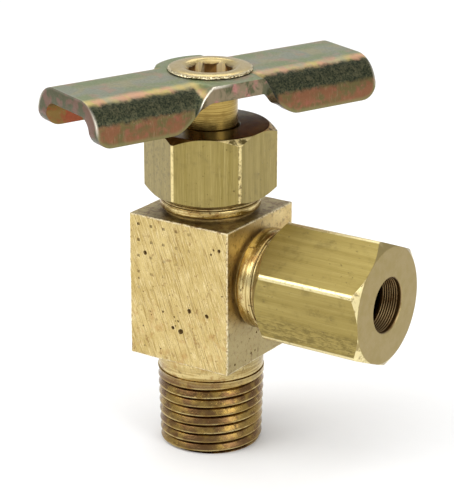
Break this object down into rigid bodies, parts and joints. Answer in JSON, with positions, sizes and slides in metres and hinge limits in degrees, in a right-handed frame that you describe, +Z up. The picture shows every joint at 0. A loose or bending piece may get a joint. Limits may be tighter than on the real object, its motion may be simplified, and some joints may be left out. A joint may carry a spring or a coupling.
{
  "type": "needle valve",
  "caption": "Angle needle valve: square brass body, male pipe thread inlet, compression fitting outlet, stem with a folded steel tee handle.",
  "frame": {"origin": "centre of the male pipe thread's lower end, on the stem's axis", "axes": "+Z up along the stem's axis, +X along the outlet"},
  "size_m": [0.0304, 0.0328, 0.0378],
  "materials": {
    "body_brass": "sawn and milled, pitted, oxidised in the threads",
    "stem_brass": "turned, bright, fine rings",
    "seal_rubber": "matt",
    "washer_brass": "stamped",
    "packing": "matt white fluoropolymer",
    "gland_brass": "turned",
    "packing_nut_brass": "drawn bar with lengthwise streaks",
    "yellow_zinc_steel": "yellow chromate over zinc, iridescent, mottled on the bends",
    "compression_nut_brass": "drawn bar, matt sawn end",
    "sleeve_brass": "turned, bright"
  },
  "bodies": {
    "valve_body": {"valve_body": "body_brass", "packing_washer": "washer_brass", "packing_ring": "packing"},
    "stem_seal": {"stem_o_ring": "seal_rubber"},
    "stem": {"needle_stem": "stem_brass", "handle": "yellow_zinc_steel"},
    "gland": {"packing_gland": "gland_brass"},
    "packing_nut": {"packing_nut": "packing_nut_brass"},
    "sleeve": {"compression_sleeve": "sleeve_brass"},
    "compression_nut": {"compression_nut": "compression_nut_brass"}
  },
  "joints": [
    {"name": "stem_rise", "type": "slide", "parent": "valve_body", "child": "stem_seal", "axis": [0, 0, 1], "range_m": [0, 0.00258]},
    {"name": "handle_turn", "type": "hinge", "parent": "stem_seal", "child": "stem", "pos_m": [0, 0, 0.03], "axis": [0, 0, 1], "range_deg": [0, 1170]},
    {"name": "gland_rise", "type": "slide", "parent": "valve_body", "child": "gland", "axis": [0, 0, 1], "range_m": [0, 0.00106]},
    {"name": "packing_nut_turn", "type": "hinge", "parent": "gland", "child": "packing_nut", "pos_m": [0, 0, 0.0287], "axis": [0, 0, 1], "range_deg": [0, 360]},
    {"name": "sleeve_slide", "type": "slide", "parent": "valve_body", "child": "sleeve", "axis": [1, 0, 0], "range_m": [0, 0.00529]},
    {"name": "compression_nut_turn", "type": "hinge", "parent": "sleeve", "child": "compression_nut", "pos_m": [0.014, 0, 0.0179], "axis": [1, 0, 0], "range_deg": [0, 1800]}
  ],
  "couplings": [
    {"joint": "handle_turn", "follows": "stem_rise", "rad_per_m": 7915.8},
    {"joint": "packing_nut_turn", "follows": "gland_rise", "rad_per_m": 5936.9},
    {"joint": "compression_nut_turn", "follows": "sleeve_slide", "rad_per_m": 5936.9}
  ]
}
